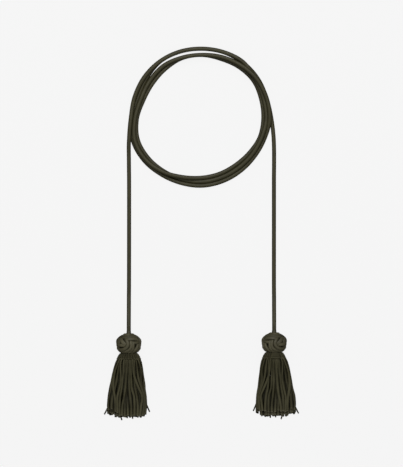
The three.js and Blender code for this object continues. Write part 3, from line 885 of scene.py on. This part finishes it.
# The cut edge on the left fringe, across in half widths, and where it lies down the fringe
HEM_EDGE = [
    (-1.2, 0.975), (-0.72, 0.975), (-0.65, 0.96), (-0.57, 1.012), (0.7, 1.012), (0.81, 0.99),
    (0.88, 0.955), (0.95, 0.925), (1.2, 0.9),
]

# How much sooner than that the top thongs are cut, on the outer side, in the middle and inside
TOP_SHORTFALL = {
    "left": [(-1.2, 0.085), (-0.5, 0.085), (-0.35, 0.015), (1.2, 0.01)],
    "right": [(-1.2, 0.085), (-0.5, 0.095), (-0.35, 0.09), (1.2, 0.08)],
}

# Thongs that stray from the left fringe, and short stubs at its hem: root and tip, each across and
# along, then the height and size at root and tip
STRAYS = [
    ((-0.93, 0.84), (-1.1, 0.955)),
    ((0.9, 0.74), (1.11, 0.912)),
    ((-0.33, 0.95), (-0.245, 1.055)),
    ((0.01, 0.9), (0.02, 1.022)),
    ((0.27, 0.9), (0.28, 1.032)),
    ((0.53, 0.9), (0.54, 1.012)),
    ((0.69, 0.9), (0.7, 1.004)),
]
STRAY_HEIGHT = (2.2 * MM, 0.8 * MM)
STRAY_SIZE = (1.9 * MM, 1.5 * MM)
STRAY_STEPS = 8
STRAY_SIDES = 8
STRAY_TONE = 0.2


def read_between(table, place):
    """The rest of a table's row at a place between its rows."""
    for above, below in zip(table, table[1:]):
        if place <= below[0]:
            break
    share = (place - above[0]) / (below[0] - above[0])
    return [between(a, b, share) for a, b in zip(above[1:], below[1:])]


def fringe_section(along):
    """Half the fringe's width, half its depth and the height of its middle at a place down it."""
    spread, thinning, sag = read_between(FRINGE_SECTIONS, along)
    half_width = between(BAND_FOOT_WIDTH, HEM_WIDTH, spread) / 2
    half_depth = between(BAND_FOOT_DEPTH, HEM_DEPTH, thinning) / 2
    height = between(half_depth - FLOOR_SINK, KNOT_AXIS_HEIGHT - BAND_DROP, sag)
    return half_width, half_depth, height


def fringe_place(cord_end, mirror, out, along, height):
    """A point of a fringe, which swings a little outwards down its length."""
    lean = HEM_LEAN * (along + LEAN_BOW * math.sin(math.pi * along))
    return Vector((
        cord_end.x + mirror * (out - lean),
        cord_end.y + FRINGE_TOP - FRINGE_LENGTH * along,
        height,
    ))


def lay_thong(strip, cord_end, mirror, route, end, tone, rng):
    """One thong from inside the band to its cut end.

    The route gives where it lies at a place down the fringe: across, level and ride."""
    twists = [(rng.uniform(*TWIST_RATES), rng.uniform(0, 1)) for _ in range(2)]
    full_width = THONG_WIDTH * rng.uniform(*THONG_WIDTHS)
    line, ups, widths, tones = [], [], [], []
    for step in range(THONG_STEPS + 1):
        along = -TUCK + (end + TUCK) * step / THONG_STEPS
        across, level, ride = route(along)
        half_width, half_depth, height = fringe_section(along)
        side_room = min(1, abs(across))
        dome = (1 - side_room**FRINGE_SQUARENESS) ** (1 / FRINGE_SQUARENESS)
        height += level * dome * (half_depth - THONG_THICKNESS / 2) + ride * THONG_THICKNESS / 2
        line.append(fringe_place(cord_end, mirror, across * half_width, along, max(height, THONG_REST)))
        lying_flat = min(1, max(0, along / FLAT_FROM))
        lean = across * abs(across) * (EDGE_LEAN - FLAT_LEAN_LOSS * lying_flat)
        twist = sum(math.sin(2 * math.pi * (rate * along + start)) for rate, start in twists)
        upright = math.copysign(1 - abs(lean) * LEAN_TIP, level)
        ups.append(Vector((mirror * lean + TWIST * twist, 0, upright)).normalized())
        loose = min(1, max(0, along / FULL_WIDTH_FROM))
        widths.append(full_width * between(THONG_ROOT_WIDTH, 1, loose))
        # Painted light towards the cut end, which lifts the shaded ends of the lower layers, and painted
        # light and shade from the ride
        hem_light = max(0, (along - HEM_LIGHT_FROM) / (1 - HEM_LIGHT_FROM))
        tones.append(tone + RIDE_LIGHT_AND_SHADE * ride + LENGTH_TONE * (0.5 - along) + HEM_LIGHT_TONE * hem_light)
    depths = [THONG_THICKNESS] * len(line)
    strip.sweep(
        line, ups, widths, depths, THONG_SIDES, power=THONG_SQUARENESS, tone=tones, slant=RAW_SLANT,
    )


def top_route(places, rides):
    """Where a thong of the top layer lies, smoothly through its stations."""
    line = smooth_through([Vector((y, x, 0)) for y, x in zip(TOP_STATIONS, places)], ROUTE_STEPS)
    table = [(point.x, point.y) for point in line]
    ride_table = list(zip(RIDE_STATIONS, rides))

    def route(along):
        across = read_between(table, along)[0]
        if along < ride_table[1][0]:
            (start, low), (stop, high) = ride_table[:2]
        else:
            (start, low), (stop, high) = ride_table[1:]
        share = (along - start) / (stop - start)
        return across, 1, between(low, high, share * share * (3 - 2 * share))

    return route


def under_route(across, level, rng):
    """Where a thong of a lower layer lies: it wanders about its own place."""
    waves = [
        (rng.uniform(*WANDER_RATES), rng.uniform(0, 1), rng.uniform(*WANDER_SIZES)) for _ in range(2)
    ]
    drift = rng.uniform(-DRIFT, DRIFT)

    def route(along):
        wander = drift
        for rate, start, size in waves:
            wander += size * math.sin(2 * math.pi * (rate * along + start))
        place = across + wander * min(1, max(0, along / WANDER_FROM))
        return max(-UNDER_EDGE, min(UNDER_EDGE, place)), level, 0

    return route


def lay_stray(strip, cord_end, mirror, root, tip):
    """A thong that has come away from the others, straight from its root to its tip."""
    line, sizes = [], []
    for step in range(STRAY_STEPS + 1):
        share = step / STRAY_STEPS
        across = between(root[0], tip[0], share)
        along = between(root[1], tip[1], share)
        height = between(*STRAY_HEIGHT, share)
        line.append(fringe_place(cord_end, mirror, across * HEM_WIDTH / 2, along, height))
        sizes.append(between(*STRAY_SIZE, share))
    strip.sweep(line, [UP] * len(line), sizes, sizes, STRAY_SIDES, tone=STRAY_TONE)


def make_fringe(side, mirror, cord_end, material):
    rng = random.Random(f"{side} fringe")
    strip = Strip()
    for places, rides in TOP_THONGS.values():
        short = read_between(TOP_SHORTFALL[side], places[-1])[0]
        end = read_between(HEM_EDGE, places[-1])[0] - short + rng.uniform(*TOP_ENDS)
        route = top_route(places, rides)
        lay_thong(strip, cord_end, mirror, route, end, rng.uniform(*TOP_TONES), rng)
    for count, level, cover, short in UNDER_LAYERS:
        for index in range(count):
            across = cover * (2 * (index + rng.uniform(*UNDER_PLACES)) / count - 1)
            end = read_between(HEM_EDGE, across)[0] - short + rng.uniform(*UNDER_ENDS)
            route = under_route(across, level, rng)
            lay_thong(strip, cord_end, mirror, route, end, rng.uniform(*UNDER_SHADE_TONES), rng)
    for root, tip in STRAYS:
        lay_stray(strip, cord_end, mirror, root, tip)
    return strip.finish(f"{side}_thong_fringe", material)


# Its first colour is near black, painted shade in the gaps between the thongs
fringe_leather = leather(
    "fringe_leather", dark_and_shaded=(0.0031, 0.0026, 0.0001), pale_worn_and_lit=(0.0474, 0.0436, 0.0224),
    roughness=0.43, glint=0.12,
)
for side, mirror, cord_end in TASSELS:
    dressed(make_fringe(side, mirror, cord_end, fringe_leather), f"{side}_fringe")

# The floor and the light
# A pale sweep of paper runs under the belt and away from it, and turns up at its far edges. It glows
# evenly, but neither lights the leather nor is mirrored in it. One broad soft lamp stands over the
# ring's side, and the room is brightest overhead.
FLOOR_REACH = 12.0
FLOOR_RISE = 0.6
PAPER_COLOUR = (0.03, 0.03, 0.03)
PAPER_GLOW = 0.88
ROOM_COLOUR = (0.905, 0.905, 0.905)
LAMP_SIZE = 0.9
LAMP_POWER = 16
LAMP_PLACE = Vector((0, 1.0, 1.2))
LAMP_AIM = Vector((0, 0.15, 0))

# The room's light rises from one strength to the other between these heights on its unit dome
ROOM_HEIGHTS = (-0.1, 0.8)
ROOM_STRENGTHS = (0.1, 0.86)

floor_corners = [(-1, -1), (1, -1), (1, 1), (-1, 1)]
floor_faces = [(0, 1, 2, 3)]
for corner in range(4):
    beside = (corner + 1) % 4
    floor_faces.append((corner, corner + 4, beside + 4, beside))
floor_mesh = bpy.data.meshes.new("pale_floor")
floor_mesh.from_pydata(
    [(x * FLOOR_REACH, y * FLOOR_REACH, z) for z in (0, FLOOR_RISE) for x, y in floor_corners],
    [],
    floor_faces,
)
pale_floor = bpy.data.objects.new("pale_floor", floor_mesh)
bpy.context.collection.objects.link(pale_floor)
paper = bpy.data.materials.new("pale_paper")
paper.use_nodes = True
paper_shader = paper.node_tree.nodes["Principled BSDF"]
paper_shader.inputs["Base Color"].default_value = (*PAPER_COLOUR, 1)
paper_shader.inputs["Roughness"].default_value = 1
paper_shader.inputs["Specular IOR Level"].default_value = 0
paper_shader.inputs["Emission Color"].default_value = (1, 1, 1, 1)
paper_shader.inputs["Emission Strength"].default_value = PAPER_GLOW
floor_mesh.materials.append(paper)
pale_floor.visible_diffuse = False
pale_floor.visible_glossy = False

room = bpy.data.worlds.new("pale_room")
room.use_nodes = True
room_tree = room.node_tree
backdrop = room_tree.nodes["Background"]
backdrop.inputs["Color"].default_value = (*ROOM_COLOUR, 1)
direction = room_tree.nodes.new("ShaderNodeTexCoord")
split = room_tree.nodes.new("ShaderNodeSeparateXYZ")
ceiling = room_tree.nodes.new("ShaderNodeMapRange")
ceiling.inputs["From Min"].default_value, ceiling.inputs["From Max"].default_value = ROOM_HEIGHTS
ceiling.inputs["To Min"].default_value, ceiling.inputs["To Max"].default_value = ROOM_STRENGTHS
room_tree.links.new(direction.outputs["Generated"], split.inputs[0])
room_tree.links.new(split.outputs["Z"], ceiling.inputs["Value"])
room_tree.links.new(ceiling.outputs[0], backdrop.inputs["Strength"])
bpy.context.scene.world = room
bpy.context.scene.view_settings.view_transform = "Standard"

soft_lamp = bpy.data.lights.new("soft_lamp", "AREA")
soft_lamp.size = LAMP_SIZE
soft_lamp.energy = LAMP_POWER
soft_lamp_stand = bpy.data.objects.new("soft_lamp", soft_lamp)
soft_lamp_stand.location = LAMP_PLACE
soft_lamp_stand.rotation_euler = (LAMP_AIM - LAMP_PLACE).to_track_quat("-Z", "Y").to_euler()
bpy.context.collection.objects.link(soft_lamp_stand)
